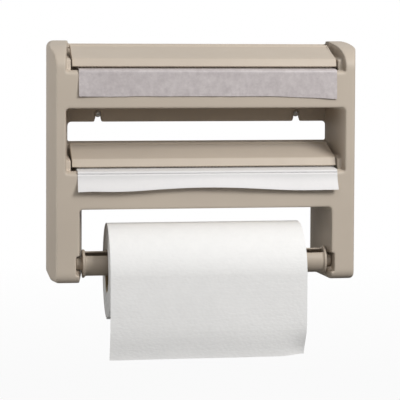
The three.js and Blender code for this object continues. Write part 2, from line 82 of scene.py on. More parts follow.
# ---- Small helpers --------------------------------------------------------------------------------------

def linear(r, g, b):
    """A colour given as 0..255 display values, as linear RGBA."""
    def channel(value):
        value /= 255
        return value / 12.92 if value <= 0.04045 else ((value + 0.055) / 1.055) ** 2.4
    return (channel(r), channel(g), channel(b), 1.0)


def scaled(colour, gain):
    """A lighter or darker copy of a colour."""
    return tuple(min(1.0, gain * c) for c in colour[:3]) + (1.0,)


def ramp(value, low, high):
    """Smooth step from 0 at low to 1 at high; low may be the larger."""
    t = min(1.0, max(0.0, (value - low) / (high - low)))
    return t * t * (3 - 2 * t)


def wave(x, y, z=0.0):
    """Smooth noise between about -1 and 1."""
    return noise.noise(Vector((x, y, z)))


def new_object(name, mesh):
    obj = bpy.data.objects.new(name, mesh)
    bpy.context.scene.collection.objects.link(obj)
    return obj


def baked(obj):
    """The object's mesh with its modifiers applied."""
    depsgraph = bpy.context.evaluated_depsgraph_get()
    return bpy.data.meshes.new_from_object(obj.evaluated_get(depsgraph))


def mesh_piece(name, vertices, faces, material, sharp=40):
    """A smooth-shaded closed mesh with its normals outward."""
    mesh = bpy.data.meshes.new(name)
    mesh.from_pydata(vertices, [], faces)
    bm = bmesh.new()
    bm.from_mesh(mesh)
    bmesh.ops.recalc_face_normals(bm, faces=bm.faces)
    bm.to_mesh(mesh)
    bm.free()
    mesh.polygons.foreach_set("use_smooth", [True] * len(mesh.polygons))
    mesh.set_sharp_from_angle(angle=math.radians(sharp))
    mesh.materials.append(material)
    return new_object(name, mesh)


def place(piece, body, node):
    """Rides piece on body in place of a CAD node, which it hides."""
    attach(piece, body)
    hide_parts(node)


def stretch(piece, held, pulled, slot, node, front, start, end, steep):
    """A sheet in place of a CAD node: bakes the sheet's transform into its mesh and hides the node.

    held, pulled, front, start, end and steep are not used.
    """
    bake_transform(piece)
    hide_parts(node)


# ---- Materials ------------------------------------------------------------------------------------------

class Nodes:
    """Adds shader nodes and links to one material."""

    def __init__(self, name):
        self.material = bpy.data.materials.new(name)
        self.material.use_nodes = True
        self.tree = self.material.node_tree
        self.tree.nodes.clear()
        self.output = self.add("ShaderNodeOutputMaterial")
        self.shader = self.add("ShaderNodeBsdfPrincipled")
        self.link(self.shader.outputs[0], self.output.inputs["Surface"])
        coordinates = self.add("ShaderNodeTexCoord")
        self.place = coordinates.outputs["Object"]
        self.facing = coordinates.outputs["Normal"]

    def add(self, kind, **settings):
        node = self.tree.nodes.new(kind)
        for key, value in settings.items():
            setattr(node, key, value)
        return node

    def link(self, source, target):
        if isinstance(source, (int, float, tuple)):
            target.default_value = source
        else:
            self.tree.links.new(source, target)

    def set(self, **values):
        for key, value in values.items():
            self.link(value, self.shader.inputs[key.replace("_", " ")])

    def mapped(self, stretch):
        mapping = self.add("ShaderNodeMapping")
        self.link(self.place, mapping.inputs["Vector"])
        mapping.inputs["Scale"].default_value = stretch
        return mapping.outputs[0]

    def noise(self, scale, detail=3, rough=0.5, stretch=(1, 1, 1)):
        node = self.add("ShaderNodeTexNoise")
        self.link(self.mapped(stretch), node.inputs["Vector"])
        node.inputs["Scale"].default_value = scale
        node.inputs["Detail"].default_value = detail
        node.inputs["Roughness"].default_value = rough
        return node.outputs[0]

    def cells(self, scale, stretch):
        node = self.add("ShaderNodeTexVoronoi", feature="F1")
        self.link(self.mapped(stretch), node.inputs["Vector"])
        node.inputs["Scale"].default_value = scale
        return node.outputs["Distance"]

    def remap(self, value, low, high, to_low=0.0, to_high=1.0):
        node = self.add("ShaderNodeMapRange")
        self.link(value, node.inputs["Value"])
        ends = {"From Min": low, "From Max": high, "To Min": to_low, "To Max": to_high}
        for key, number in ends.items():
            node.inputs[key].default_value = number
        return node.outputs[0]

    def math(self, operation, a, b=0.0):
        node = self.add("ShaderNodeMath", operation=operation)
        self.link(a, node.inputs[0])
        self.link(b, node.inputs[1])
        return node.outputs[0]

    def mix(self, factor, a, b):
        node = self.add("ShaderNodeMix", data_type="RGBA")
        self.link(factor, node.inputs["Factor"])
        self.link(a, node.inputs["A"])
        self.link(b, node.inputs["B"])
        return node.outputs["Result"]

    def bump(self, *layers):
        """layers are (height, strength, distance), stacked."""
        normal = None
        for height, strength, distance in layers:
            node = self.add("ShaderNodeBump")
            node.inputs["Strength"].default_value = strength
            node.inputs["Distance"].default_value = distance
            self.link(height, node.inputs["Height"])
            if normal is not None:
                self.link(normal, node.inputs["Normal"])
            normal = node.outputs[0]
        self.link(normal, self.shader.inputs["Normal"])

    def edges(self, radius):
        """0 on open faces, rising to 1 along edges sharper than radius."""
        bevel = self.add("ShaderNodeBevel", samples=4)
        bevel.inputs["Radius"].default_value = radius
        geometry = self.add("ShaderNodeNewGeometry")
        dot = self.add("ShaderNodeVectorMath", operation="DOT_PRODUCT")
        self.link(bevel.outputs[0], dot.inputs[0])
        self.link(geometry.outputs["Normal"], dot.inputs[1])
        return self.remap(dot.outputs["Value"], 1.0, 0.85)

    def split(self, vector):
        node = self.add("ShaderNodeSeparateXYZ")
        self.link(vector, node.inputs[0])
        return node.outputs[:3]

    def end_face(self):
        """1 where the surface faces along x, as a roll's ends do."""
        return self.remap(self.math("ABSOLUTE", self.split(self.facing)[0]), 0.6, 0.9)

    def radius_from(self, axis):
        _, y, z = self.split(self.place)
        across = self.math("POWER", self.math("SUBTRACT", y, axis[0]), 2.0)
        along = self.math("POWER", self.math("SUBTRACT", z, axis[1]), 2.0)
        return self.math("SQRT", self.math("ADD", across, along))

    def windings(self, axis, turns_per_metre):
        """Fine concentric rings, as the edges of wound layers make on a roll's end."""
        node = self.add("ShaderNodeTexNoise", noise_dimensions="1D")
        self.link(self.radius_from(axis), node.inputs["W"])
        node.inputs["Scale"].default_value = turns_per_metre
        node.inputs["Detail"].default_value = 3
        return node.outputs[0]


def moulded_plastic(name, base, rough=0.5):
    """Satin moulded plastic: a fine spark-eroded grain, faint flow marks, and edges rubbed a little glossier
    and painted lighter as a highlight.
    """
    n = Nodes(name)
    flow = n.remap(n.noise(9, 2, stretch=(1, 1, 2.5)), 0.3, 0.7)
    colour = n.mix(flow, scaled(base, 0.975), scaled(base, 1.02))
    speck = n.remap(n.noise(900, 2), 0.62, 0.75)
    colour = n.mix(n.math("MULTIPLY", speck, 0.12), colour, scaled(base, 0.8))
    # Painted highlight: edges are painted lighter in patches, standing in for rounded edges catching the
    # light; the same mask also makes them a little glossier, as rubbing does.
    edge_polish_and_highlight = n.math("MULTIPLY", n.edges(1.2 * MM), n.remap(n.noise(120, 3), 0.35, 0.75))
    colour = n.mix(n.math("MULTIPLY", edge_polish_and_highlight, 0.4), colour, scaled(base, 1.15))
    roughness = n.remap(n.noise(60, 4), 0.3, 0.7, rough - 0.04, rough + 0.06)
    n.set(Base_Color=colour, Roughness=n.math("SUBTRACT", roughness, n.math("MULTIPLY", edge_polish_and_highlight, 0.1)))
    n.set(Specular_IOR_Level=0.4)
    n.bump((n.noise(14, 2), 0.2, 0.5 * MM), (n.noise(2400, 2, 0.6), 0.16, 0.2 * MM))
    return n.material


def film_material(name, axis, alpha=1.0):
    """Cling film: frosted by its fine creases, glossy between them, and clearer where it lies flat."""
    n = Nodes(name)
    mottle = n.remap(n.noise(150, 5, 0.7), 0.3, 0.7)
    colour = n.mix(mottle, linear(199, 190, 190), linear(210, 202, 201))
    rings = n.windings(axis, 2600)
    ends = n.end_face()
    layered = n.math("MULTIPLY", ends, rings)
    colour = n.mix(layered, colour, linear(176, 172, 178))
    creases = n.noise(220, 4, 0.6, stretch=(1, 1, 0.5))
    n.set(Base_Color=colour, Roughness=n.remap(mottle, 0, 1, 0.3, 0.48), Specular_IOR_Level=0.55)
    if alpha < 1:
        n.set(Alpha=n.remap(mottle, 0, 1, alpha, min(1, alpha + 0.12)))
    n.bump((creases, 0.22, 0.5 * MM), (n.noise(900, 2), 0.15, 0.1 * MM), (layered, 0.5, 0.3 * MM))
    return n.material


def paper_material(name, axis, base, turns_per_metre):
    """Smooth greaseproof paper: faint fibre cloud, a soft sheen, and layered edges on the roll's ends."""
    n = Nodes(name)
    cloud = n.remap(n.noise(240, 5, 0.65), 0.3, 0.7)
    colour = n.mix(cloud, scaled(base, 0.975), base)
    rings = n.windings(axis, turns_per_metre)
    ends = n.end_face()
    layered = n.math("MULTIPLY", ends, n.remap(rings, 0.35, 0.65))
    colour = n.mix(n.math("MULTIPLY", layered, 0.5), colour, scaled(base, 0.72))
    n.set(Base_Color=colour, Roughness=n.remap(cloud, 0, 1, 0.55, 0.66), Specular_IOR_Level=0.3)
    n.bump((n.noise(1400, 3, stretch=(1, 3, 3)), 0.25, 0.08 * MM), (layered, 0.6, 0.4 * MM))
    return n.material


def tissue_material(name, axis, base):
    """Embossed kitchen tissue: crepe lines across the web, soft fibre fuzz and layered edges on the ends."""
    n = Nodes(name)
    crepe = n.noise(1100, 3, 0.6, stretch=(0.35, 1.6, 1.6))
    fibre = n.noise(2600, 3, 0.7)
    strokes = n.remap(n.cells(420, stretch=(0.55, 1, 1)), 0.15, 0.75)
    cloud = n.remap(n.noise(90, 4, 0.6), 0.3, 0.7)
    colour = n.mix(cloud, scaled(base, 0.97), base)
    colour = n.mix(n.math("MULTIPLY", strokes, 0.08), colour, scaled(base, 0.9))
    rings = n.windings(axis, 1500)
    ends = n.end_face()
    layered = n.math("MULTIPLY", ends, n.remap(rings, 0.35, 0.65))
    colour = n.mix(n.math("MULTIPLY", layered, 0.5), colour, scaled(base, 0.7))
    n.set(Base_Color=colour, Roughness=0.95, Specular_IOR_Level=0.12)
    n.set(Sheen_Weight=0.25, Sheen_Roughness=0.6)
    n.bump(
        (strokes, 0.2, 0.4 * MM),
        (crepe, 0.25, 0.2 * MM),
        (fibre, 0.2, 0.1 * MM),
        (layered, 0.7, 0.8 * MM),
    )
    return n.material


def card_material(name):
    """Grey-brown wound card with darker flecks and a helical seam between its strips."""
    n = Nodes(name)
    fleck = n.remap(n.noise(900, 4, 0.7), 0.52, 0.7)
    colour = n.mix(fleck, linear(178, 158, 128), linear(140, 120, 94))
    x, y, z = n.split(n.place)
    turn = n.math("DIVIDE", n.math("ARCTAN2", z, y), 2 * math.pi)
    seam = n.math("PINGPONG", n.math("ADD", n.math("MULTIPLY", x, 16.0), turn), 0.5)
    line = n.remap(seam, 0.012, 0.0)
    colour = n.mix(n.math("MULTIPLY", line, 0.6), colour, linear(98, 82, 62))
    n.set(Base_Color=colour, Roughness=0.9, Specular_IOR_Level=0.15)
    n.bump((n.noise(700, 3, stretch=(0.3, 2, 2)), 0.4, 0.2 * MM), (line, -0.5, 0.3 * MM))
    return n.material


def steel_material(name):
    """Bright zinc plating with turning lines around the screw's axis and a little staining."""
    n = Nodes(name)
    stain = n.remap(n.noise(500, 4), 0.4, 0.75)
    colour = n.mix(stain, linear(214, 213, 210), linear(176, 172, 160))
    lines = n.noise(2500, 2, stretch=(1, 4, 1))
    n.set(Base_Color=colour, Metallic=1.0, Roughness=n.remap(stain, 0, 1, 0.24, 0.42))
    n.bump((lines, 0.25, 0.05 * MM))
    return n.material


def nylon_material(name):
    """Grey nylon with a waxy surface and faint mould speckle."""
    n = Nodes(name)
    cloud = n.remap(n.noise(300, 3), 0.3, 0.7)
    n.set(Base_Color=n.mix(cloud, linear(150, 152, 154), linear(166, 167, 168)), Roughness=0.55)
    n.set(Specular_IOR_Level=0.45, Subsurface_Weight=0.05, Subsurface_Scale=0.002)
    n.bump((n.noise(1800, 3), 0.3, 0.1 * MM))
    return n.material


TAUPE = linear(200, 187, 171)
taupe_plastic = moulded_plastic("taupe_plastic", TAUPE)
rod_plastic = moulded_plastic("rod_plastic", linear(186, 173, 157), 0.44)
cutter_plastic = moulded_plastic("cutter_plastic", linear(178, 166, 150), 0.4)
cling_film = film_material("cling_film", FILM_AXIS)
drawn_film = film_material("cling_film_sheet", FILM_AXIS, 0.86)
baking_paper = paper_material("baking_paper", BAKING_AXIS, linear(236, 234, 233), 2400)
kitchen_tissue = tissue_material("kitchen_tissue", KITCHEN_AXIS, linear(250, 249, 247))
cardboard = card_material("cardboard")
zinc_steel = steel_material("zinc_steel")
nylon = nylon_material("nylon")


# ---- Plastic mouldings ----------------------------------------------------------------------------------

def relaxed(coordinates, edges, weights, rounds):
    """Moves each point up to half the way to the mean of its neighbours, as many times as rounds."""
    count = len(coordinates)
    ends = np.concatenate([edges, edges[:, ::-1]])
    degree = np.bincount(ends[:, 0], minlength=count)
    step = (0.5 * weights)[:, None]
    for _ in range(rounds):
        far = coordinates[ends[:, 1]]
        sums = [np.bincount(ends[:, 0], weights=far[:, k], minlength=count) for k in range(3)]
        coordinates = coordinates + step * (np.stack(sums, axis=1) / degree[:, None] - coordinates)
    return coordinates


def moulding(node, name, voxel, rounds, weight, keep, material):
    """A copy of a CAD node with rounded edges: a fine skin, relaxed by weight, then thinned to keep."""
    mesh = NODES[node].data.copy()
    bm = bmesh.new()
    bm.from_mesh(mesh)
    bmesh.ops.remove_doubles(bm, verts=bm.verts, dist=2e-6)
    bm.to_mesh(mesh)
    bm.free()
    draft = new_object(name + "_draft", mesh)
    skin = draft.modifiers.new("skin", "REMESH")
    skin.mode = "VOXEL"
    skin.voxel_size = voxel
    fine = baked(draft)
    coordinates = np.empty(3 * len(fine.vertices))
    fine.vertices.foreach_get("co", coordinates)
    coordinates = coordinates.reshape(-1, 3)
    edges = np.empty(2 * len(fine.edges), dtype=np.int64)
    fine.edges.foreach_get("vertices", edges)
    soft = relaxed(coordinates, edges.reshape(-1, 2), weight(coordinates), rounds)
    fine.vertices.foreach_set("co", soft.ravel())
    draft.modifiers.clear()
    draft.data = fine
    thin = draft.modifiers.new("thin", "DECIMATE")
    thin.ratio = keep
    fine = baked(draft)
    bpy.data.objects.remove(draft)
    fine.name = name
    fine.materials.clear()
    fine.materials.append(material)
    fine.polygons.foreach_set("use_smooth", [True] * len(fine.polygons))
    piece = new_object(name, fine)
    normals = piece.modifiers.new("normals", "WEIGHTED_NORMAL")
    normals.weight = 80
    return piece


def frame_weight(points):
    """Most rounding on the cheeks' front edges, least around the keyholes and hinge pins at the back."""
    x, y = np.abs(points[:, 0]), points[:, 1]
    depth = np.interp(y, [-75 * MM, -60 * MM, -25 * MM, -12 * MM], [0.55, 0.45, 0.3, 0.12])
    outward = np.interp(x, [160 * MM, 168 * MM], [0.0, 1.0])
    forward = np.interp(y, [-72 * MM, -50 * MM], [1.0, 0.0])
    return np.maximum(depth, outward * forward)


def even_weight(points):
    """The same rounding everywhere, for thin pieces."""
    return np.full(len(points), 0.55)


shell = moulding("frame", "frame_shell", 0.9 * MM, 12, frame_weight, 0.13, taupe_plastic)
place(shell, "root", "frame")
for side in ("upper", "lower"):
    lid = moulding(side + "_lid", side + "_lid_shell", 0.5 * MM, 6, even_weight, 0.14, taupe_plastic)
    place(lid, side + "_lid", side + "_lid")
rod = moulding("rod", "rod_shell", 0.5 * MM, 4, even_weight, 0.14, rod_plastic)
place(rod, "rod", "rod")


# ---- Rolls ----------------------------------------------------------------------------------------------

def ring_solid(name, profile, axis, segments, material, wobble=None, sharp=40):
    """A closed section of (x, radius) points turned about an axis along x.

    wobble(x, angle, radius) gives how far each point strays, as (dx, dr).
    """
    vertices = []
    for s in range(segments):
        angle = 2 * math.pi * s / segments
        for x, radius in profile:
            dx, dr = wobble(x, angle, radius) if wobble else (0, 0)
            reach = radius + dr
            vertices.append((x + dx, axis[0] + reach * math.cos(angle), axis[1] + reach * math.sin(angle)))
    count = len(profile)
    faces = []
    for s in range(segments):
        here, there = s * count, (s + 1) % segments * count
        for p in range(count):
            q = (p + 1) % count
            faces.append((here + p, here + q, there + q, there + p))
    return mesh_piece(name, vertices, faces, material, sharp)


def tube_profile(x0, x1, bore, radius, ease):
    """A plain tube's section with eased rims."""
    rows = 12
    length = x1 - x0 - 2 * ease
    outside = [(x0 + ease + length * k / rows, radius) for k in range(rows + 1)]
    inside = [(x1 - ease - length * k / rows, bore) for k in range(rows + 1)]
    right = [(x1, radius - ease), (x1, bore + ease)]
    left = [(x0, bore + ease), (x0, radius - ease)]
    return outside + right + inside + left


def roll_profile(ends, bore, radius, ease, layer, uneven, seed):
    """A wound roll's section: ends stepped by its layers, and rims eased by handling."""
    x0, x1 = ends
    shuffle = random.Random(seed)
    steps = int((radius - ease - bore) / layer)
    heights = [bore + (radius - ease - bore) * k / steps for k in range(steps + 1)]
    corner = [(math.sin(math.radians(a)), math.cos(math.radians(a))) for a in (30, 60)]
    left = [(x0 + uneven * shuffle.random(), r) for r in heights]
    left += [(x0 + ease - ease * c, radius - ease + ease * s) for s, c in corner]
    right = [(x1 - uneven * shuffle.random(), r) for r in heights]
    right += [(x1 - ease + ease * c, radius - ease + ease * s) for s, c in corner]
    rows = 24
    top = [(x0 + ease + (x1 - x0 - 2 * ease) * k / rows, radius) for k in range(rows + 1)]
    inside = [(x1 - (x1 - x0) * k / rows, bore) for k in range(1, rows)]
    return left + top + right[::-1] + inside


def roll_wobble(amount):
    """A wound roll is never quite round, and its layers creep sideways a little."""
    def wobble(x, angle, radius):
        c, s = math.cos(angle), math.sin(angle)
        creep = wave(2 * c, 2 * s, radius * 400) * amount
        return creep * (1 if abs(x) > 0.1 else 0), wave(1.3 * c + 5, 1.3 * s, x * 12) * amount * 0.5
    return wobble


def wound_roll(label, axis, ends, bore, radius, core, ease, layer, uneven, material, seed):
    """A roll's winding and its card core, each a piece on the roll's body."""
    profile = roll_profile(ends, bore, radius, ease, layer, uneven, seed)
    winding = ring_solid(label + "_wound", profile, axis, 112, material, roll_wobble(uneven * 0.6), 60)
    place(winding, label + "_roll", label + "_winding")
    tube = ring_solid(label + "_tube", tube_profile(*core, 0.25 * MM), axis, 72, cardboard)
    place(tube, label + "_roll", label + "_core")


wound_roll(
    "film", FILM_AXIS, WRAP_ENDS, bore=16.2 * MM, radius=19.9 * MM, core=WRAP_CORE,
    ease=0.3 * MM, layer=0.4 * MM, uneven=0.15 * MM, material=cling_film, seed=3,
)
wound_roll(
    "baking", BAKING_AXIS, WRAP_ENDS, bore=16.2 * MM, radius=23.9 * MM, core=WRAP_CORE,
    ease=0.4 * MM, layer=0.5 * MM, uneven=0.3 * MM, material=baking_paper, seed=5,
)
wound_roll(
    "kitchen", KITCHEN_AXIS, KITCHEN_ENDS, bore=25.3 * MM, radius=54.9 * MM, core=KITCHEN_CORE,
    ease=2.2 * MM, layer=0.9 * MM, uneven=0.5 * MM, material=kitchen_tissue, seed=7,
)


# ---- Sheets drawn from the rolls ------------------------------------------------------------------------

def rounded_path(corners, arc_steps=6):
    """A polyline of (y, z, radius) corners with each inner corner rounded, as (y, z) vectors."""
    points = [Vector(corners[0][:2])]
    for before, here, after in zip(corners, corners[1:], corners[2:]):
        corner = Vector(here[:2])
        back = (Vector(before[:2]) - corner).normalized()
        ahead = (Vector(after[:2]) - corner).normalized()
        half = back.angle(ahead) / 2
        reach = here[2] / math.tan(half)
        centre = corner + (back + ahead).normalized() * here[2] / math.sin(half)
        start, end = corner + back * reach - centre, corner + ahead * reach - centre
        for k in range(arc_steps + 1):
            t = k / arc_steps
            swing = (start * (1 - t) + end * t).normalized() * here[2]
            points.append(centre + swing)
    points.append(Vector(corners[-1][:2]))
    return points


def off_roll(axis, radius, first_angle, target, growth):
    """Points around a roll from first_angle, in degrees, to where a straight run to target leaves it."""
    centre, goal = Vector(axis), Vector(target)
    leave = math.atan2(goal.y - centre.y, goal.x - centre.x) - math.acos(radius / (goal - centre).length)
    start = math.radians(first_angle)
    leave = start + (leave - start) % (2 * math.pi)
    steps = int((leave - start) / math.radians(4))
    points = []
    for k in range(steps + 1):
        angle = start + (leave - start) * k / steps
        reach = radius - growth * (1 - k / steps)
        points.append(centre + Vector((math.cos(angle), math.sin(angle))) * reach)
    return points


def resampled(points, step):
    """The same path with its points spaced evenly, about a step apart."""
    lengths = [0.0]
    for a, b in zip(points, points[1:]):
        lengths.append(lengths[-1] + (b - a).length)
    count = max(2, round(lengths[-1] / step))
    result, k = [], 0
    for i in range(count + 1):
        s = lengths[-1] * i / count
        while k < len(points) - 2 and lengths[k + 1] < s:
            k += 1
        span = lengths[k + 1] - lengths[k]
        result.append(points[k].lerp(points[k + 1], (s - lengths[k]) / span if span else 0))
    return result


def web(name, points, x0, x1, step, thick, shape, material):
    """A thin closed sheet along a (y, z) path.

    shape(x, y, z, s) gives how far each point moves, as (dx, out, dz), where out is square to the path.
    """
    columns = round((x1 - x0) / step)
    upper, lower = [], []
    travelled = 0.0
    for i, point in enumerate(points):
        before, after = points[max(0, i - 1)], points[min(len(points) - 1, i + 1)]
        along = (after - before).normalized()
        out = Vector((along.y, -along.x))
        if i:
            travelled += (point - points[i - 1]).length
        for j in range(columns + 1):
            x = x0 + (x1 - x0) * j / columns
            dx, lift, dz = shape(x, point.x, point.y, travelled)
            for skin, offset in ((upper, thick / 2), (lower, -thick / 2)):
                at = point + out * (lift + offset)
                skin.append((x + dx, at.x, at.y + dz))
    rows, width = len(points), columns + 1
    under = len(upper)
    faces = []
    for i in range(rows - 1):
        for j in range(columns):
            a, b = i * width + j, (i + 1) * width + j
            faces.append((a, b, b + 1, a + 1))
            faces.append((under + a, under + a + 1, under + b + 1, under + b))
    for j in range(columns):
        last = (rows - 1) * width
        faces.append((j, j + 1, under + j + 1, under + j))
        faces.append((last + j + 1, last + j, under + last + j, under + last + j + 1))
    for i in range(rows - 1):
        a, b = i * width, (i + 1) * width
        faces.append((b, a, under + a, under + b))
        faces.append((a + columns, b + columns, under + b + columns, under + a + columns))
    return mesh_piece(name, upper + lower, faces, material, 70)


def film_shape(x, y, z, s):
    """The film lies on the fascia, ruffled by fine upright creases, with its right end drooping."""
    fall = ramp(z, 101 * MM, 74 * MM) * (y < -80 * MM)
    ruffle = 0.5 * wave(x * 90, z * 14) + 0.3 * wave(x * 260, z * 40, 4)
    stand = 0.5 + 1.6 * ramp(x, -120 * MM, -150 * MM) + 0.8 * ramp(x, 120 * MM, 152 * MM)
    droop = -3.4 * max(0.0, (x - 70 * MM) / (82 * MM)) ** 1.3 - 0.5 * (1 + wave(x * 30, 2.5))
    return 0, fall * (stand + ruffle) * MM, fall * fall * droop * MM


def baking_shape(x, y, z, s):
    """The paper keeps its roll's curl, so its free edge stands out in a shallow wave."""
    fall = ramp(z, -14 * MM, -36 * MM) * (y < -80 * MM)
    curl = 6.5 + 1.2 * wave(x * 14, 0.3) + 0.5 * wave(x * 45, z * 20)
    middle = 3.2 * math.cos(math.pi * x / (160 * MM)) * ramp(abs(x), 150 * MM, 60 * MM)
    ends = 0.8 * ramp(x, -130 * MM, -150 * MM) + 0.9 * ramp(x, 80 * MM, 150 * MM)
    fold = 0.8 * math.exp(-((z + 16 * MM) / (0.6 * MM)) ** 2) * (y < -80 * MM)
    return 0, (fall * fall * curl - fold) * MM, fall * (middle - ends) * MM


EMBOSS_PITCH = 6.4 * MM


def emboss(x, s):
    """Staggered rows of shallow oval dimples, 0 between them and 1 at their centres."""
    row = math.floor(s / EMBOSS_PITCH)
    across = (x / EMBOSS_PITCH + 0.5 * (row % 2)) % 1 - 0.5
    down = s / EMBOSS_PITCH - row - 0.5
    reach = (across * across + 1.7 * down * down) / 0.11
    return max(0.0, 1 - reach) ** 2


def kitchen_shape(x, y, z, s):
    """Embossed tissue that hangs from the roll's front and curls back at its free edge, most at the right."""
    hanging = ramp(z, -131 * MM, -170 * MM) * (y < -100 * MM)
    free = ramp(z, -176 * MM, -224 * MM) * (y < -100 * MM)
    corner = free * ramp(x, 70 * MM, 111 * MM)
    sway = 0.9 * wave(x * 16, z * 10, 2) * hanging
    back = 3.0 * free * free + 4.5 * corner * corner
    dx = -2.0 * corner * corner - 0.7 * free * free * ramp(x, 0, -114 * MM)
    relief = -0.16 * emboss(x, s) + 0.05 * wave(x * 420, s * 420)
    return dx * MM, (sway - back + relief) * MM, 1.6 * corner * corner * MM


def rolled_sheet(label, axis, radius, first_angle, corners, ends, step, thick, growth, shape, material):
    """A sheet that lies round its roll from first_angle, then follows (y, z, radius) corners given in mm."""
    route = [(y * MM, z * MM, bend * MM) for y, z, bend in corners]
    wrap = off_roll(axis, radius, first_angle, route[0][:2], growth)
    path = wrap[:-1] + rounded_path([(*wrap[-1], 0), *route])
    return web(label + "_drawn", resampled(path, step), *ends, step, thick, shape, material)


film = rolled_sheet(
    "film", FILM_AXIS, radius=20.1 * MM, first_angle=-70,
    corners=[(-72.5, 105.2, 3.3), (-82.95, 103.4, 2.4), (-83.1, 74, 0)], ends=(-148.2 * MM, 152.2 * MM),
    step=1.5 * MM, thick=0.14 * MM, growth=0.1 * MM, shape=film_shape, material=drawn_film,
)
stretch(film, "root", "film_sheet", "cling_film", "film_sheet", FASCIA_FRONT, 98 * MM, 75 * MM, 35)

baking = rolled_sheet(
    "baking", BAKING_AXIS, radius=24.15 * MM, first_angle=-70,
    corners=[(-65.4, -11.4, 8), (-73.2, -11.6, 3.3), (-82.9, -13.0, 2), (-83.4, -34.6, 0)],
    ends=(-149.4 * MM, 153.6 * MM),
    step=0.75 * MM, thick=0.2 * MM, growth=0.15 * MM, shape=baking_shape, material=baking_paper,
)
stretch(baking, "root", "baking_sheet", "baking_paper", "baking_sheet", FASCIA_FRONT, -17 * MM, -30 * MM, 30)

kitchen = rolled_sheet(
    "kitchen", KITCHEN_AXIS, radius=55.5 * MM, first_angle=-120,
    corners=[(-117.51, -150, 40), (-117.51, -223.8, 0)], ends=KITCHEN_ENDS,
    step=1.6 * MM, thick=0.5 * MM, growth=0.35 * MM, shape=kitchen_shape, material=kitchen_tissue,
)
stretch(
    kitchen, "rod", "kitchen_sheet", "kitchen_tissue", "kitchen_sheet",
    KITCHEN_FRONT, -136 * MM, -205 * MM, 20,
)


# ---- Fixings and cutters --------------------------------------------------------------------------------

def turned(name, rows, x, z, segments, material, hollow):
    """Rings of (radius, y) about an axis along y through x and z. A radius may be a function of the angle."""
    vertices, faces = [], []
    for radius, y in rows:
        for s in range(segments):
            angle = 2 * math.pi * s / segments
            reach = radius(angle) if callable(radius) else radius
            vertices.append((x + reach * math.cos(angle), y, z + reach * math.sin(angle)))
    count = len(rows)
    for i in range(count if hollow else count - 1):
        here, there = i * segments, (i + 1) % count * segments
        for s in range(segments):
            t = (s + 1) % segments
            faces.append((here + s, here + t, there + t, there + s))
    if not hollow:
        faces.append(tuple(range(segments))[::-1])
        faces.append(tuple((count - 1) * segments + s for s in range(segments)))
    return mesh_piece(name, vertices, faces, material, 35)


def wood_screw(name, x, z):
    """A pan-head screw with a cross recess and a cut thread that runs to a point."""
    back, tip = -2.1 * MM, 30 * MM  # the head's underside and the point
    pitch, crest, root = 1.5 * MM, 1.88 * MM, 1.3 * MM
    dome = [(0.5, -4.36), (1.4, -4.3), (2.3, -4.1), (2.95, -3.8), (3.45, -3.4), (3.7, -2.95), (3.75, -2.6)]
    neck = [(3.7, -2.2), (3.5, -2.1), (1.9, -2.1), (1.65, -1.8)]
    rows = [(r * MM, y * MM) for r, y in dome + neck]

    def thread(y):
        taper = min(1.0, (tip - y) / (4.5 * MM))
        start = ramp(y, 2.5 * MM, 4 * MM)

        def radius(angle):
            turn = (y / pitch - angle / (2 * math.pi)) % 1
            ridge = max(0.0, 1 - abs(turn - 0.5) / 0.3) * start
            return max(0.05 * MM, taper * (root + 0.35 * MM * (1 - start) + (crest - root) * ridge))
        return radius

    steps = 150
    first = back + 0.6 * MM
    for k in range(steps + 1):
        y = first + (tip - first) * k / steps
        rows.append((thread(y), y))
    screw = turned(name, rows, x, z, 28, zinc_steel, False)
    arms = []
    for width, height in ((2.0, 0.42), (0.42, 2.0)):
        for y, grow in ((-9, 1.25), (-3.2, 0.75)):
            for u, v in ((-1, -1), (1, -1), (1, 1), (-1, 1)):
                arms.append((x + u * width * grow * MM, y * MM, z + v * height * grow * MM))
    sides = [(0, 1, 2, 3), (7, 6, 5, 4), (0, 4, 5, 1), (1, 5, 6, 2), (2, 6, 7, 3), (3, 7, 4, 0)]
    for k in (0, 8):
        tool = mesh_piece(name + "_drive", arms[k:k + 8], sides, zinc_steel)
        cut = screw.modifiers.new("drive", "BOOLEAN")
        cut.operation = "DIFFERENCE"
        cut.solver = "EXACT"
        cut.object = tool
        mesh = baked(screw)
        screw.modifiers.clear()
        screw.data = mesh
        bpy.data.objects.remove(tool)
    return screw


def wall_plug(name, x, z):
    """A nylon plug with a collar and shallow barbs, split along its length by two grooves."""
    def split(radius):
        def around(angle):
            groove = max(0.0, 1 - abs(math.sin(angle)) / 0.2)
            return radius - 0.5 * MM * groove if radius > 2.6 * MM else radius
        return around

    rows = [(2.2, 0.3), (4.2, 0.3), (4.35, 0.45), (4.35, 1.0), (4.2, 1.15)]
    for k in range(3):
        y = 3.5 + 6 * k
        rows += [(3.1, y), (3.75, y + 1.1), (3.6, y + 4.6)]
    rows += [(2.95, 24.5), (2.8, 26), (2.2, 26)]
    return turned(name, [(split(r * MM), y * MM) for r, y in rows], x, z, 48, nylon, True)


for label, x in (("left", -SCREW_X), ("right", SCREW_X)):
    place(wood_screw("screw_" + label, x, SCREW_Z), "root", "wall_screw_" + label)
    place(wall_plug("plug_" + label, x, SCREW_Z), "root", "wall_plug_" + label)
for side in ("upper", "lower"):
    cutter = NODES[side + "_cutter"].data
    cutter.materials.clear()
    cutter.materials.append(cutter_plastic)


# ---- Floor, light and camera ----------------------------------------------------------------------------

